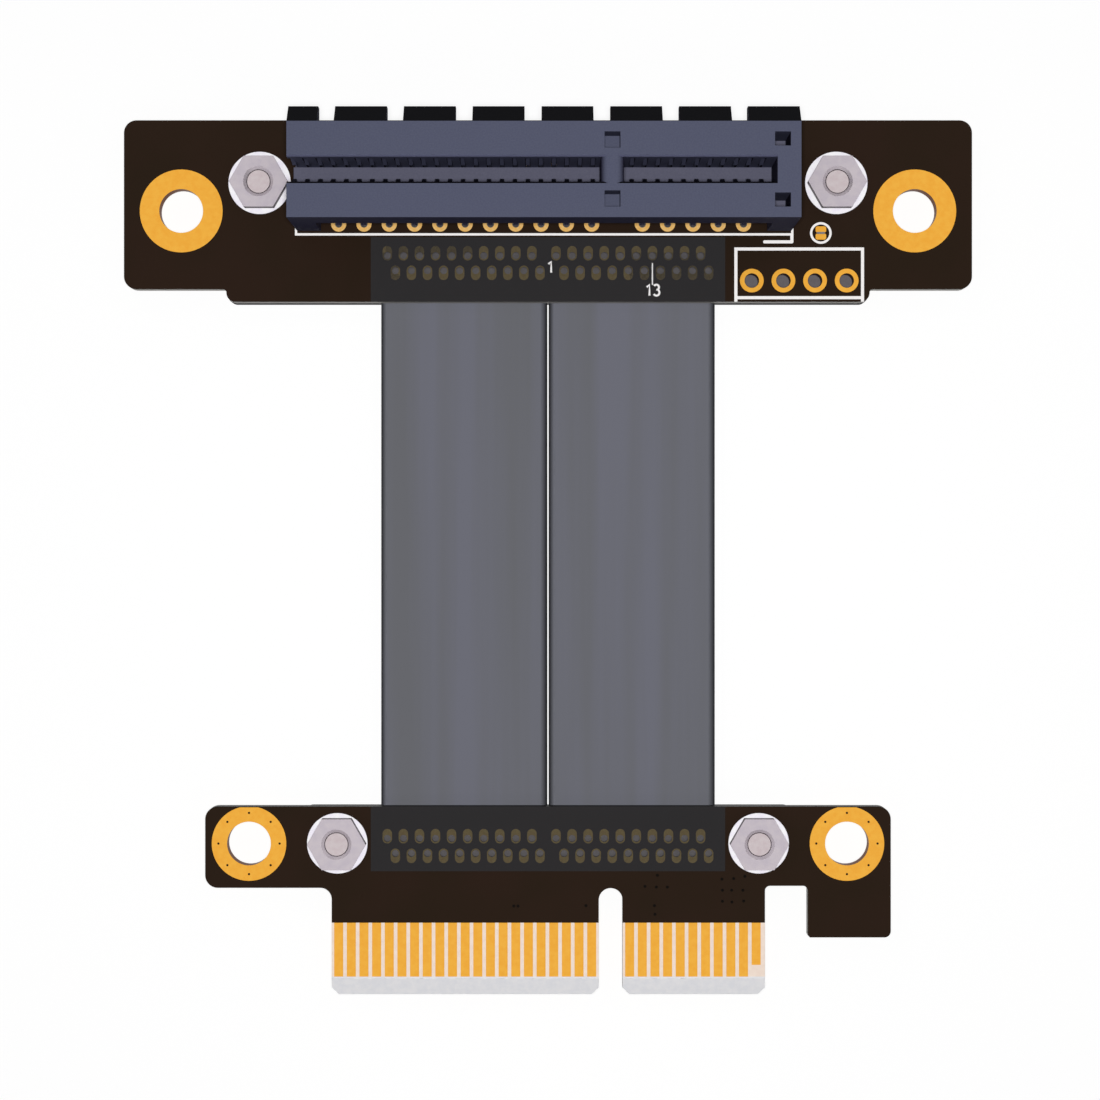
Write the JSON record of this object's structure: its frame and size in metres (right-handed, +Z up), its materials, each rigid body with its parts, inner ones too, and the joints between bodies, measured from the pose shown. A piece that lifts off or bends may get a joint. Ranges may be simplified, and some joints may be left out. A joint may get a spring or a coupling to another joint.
{
  "type": "pcie riser card",
  "caption": "Socket board with an open-ended card slot, joined by two flat grey ribbon cables to a small board with a gold card edge.",
  "frame": {"origin": "middle of the footprint's box, on the surface that the back covers rest on", "axes": "+X across the boards towards the hooked tail, +Y from the card edge to the socket board, +Z up out of the slot"},
  "size_m": [0.067, 0.0692, 0.0147],
  "materials": {
    "board_laminate": "brown-black solder mask",
    "slot_plastic": "dark blue-grey moulding",
    "contact_plating": "dark plated spring contacts",
    "gold_plating": "gold over copper",
    "solder": "dull solder",
    "tinned_copper": "tinned wire",
    "nickel_steel": "nickel plated",
    "white_nylon": "white nylon",
    "ribbon_jacket": "satin grey jacket",
    "cover_plastic": "black moulded cover",
    "dark_film": "dark see-through film",
    "legend_ink": "white print"
  },
  "bodies": {
    "root": {"edge_back_cover": "cover_plastic", "edge_board": "board_laminate", "edge_cable_pads": "gold_plating", "edge_cable_solder": "solder", "edge_film": "dark_film", "edge_fingers_back": "gold_plating", "edge_fingers_front": "gold_plating", "edge_nut_left": "nickel_steel", "edge_nut_right": "nickel_steel", "edge_ring_left": "gold_plating", "edge_ring_right": "gold_plating", "edge_screw_left": "nickel_steel", "edge_screw_right": "nickel_steel", "edge_washer_left": "white_nylon", "edge_washer_right": "white_nylon", "header_plating": "gold_plating", "jumper_pads": "gold_plating", "jumper_solder": "solder", "ribbon_left": "ribbon_jacket", "ribbon_right": "ribbon_jacket", "slot_contacts_far": "contact_plating", "slot_contacts_near": "contact_plating", "slot_housing": "slot_plastic", "slot_pads_back": "gold_plating", "slot_pads_front": "gold_plating", "slot_solder": "solder", "socket_back_cover": "cover_plastic", "socket_board": "board_laminate", "socket_cable_pads": "gold_plating", "socket_cable_solder": "solder", "socket_film": "dark_film", "socket_legend": "legend_ink", "socket_nut_left": "nickel_steel", "socket_nut_right": "nickel_steel", "socket_ring_left": "gold_plating", "socket_ring_right": "gold_plating", "socket_screw_left": "nickel_steel", "socket_screw_right": "nickel_steel", "socket_washer_left": "white_nylon", "socket_washer_right": "white_nylon", "wires_left": "tinned_copper", "wires_right": "tinned_copper"}
  },
  "joints": []
}
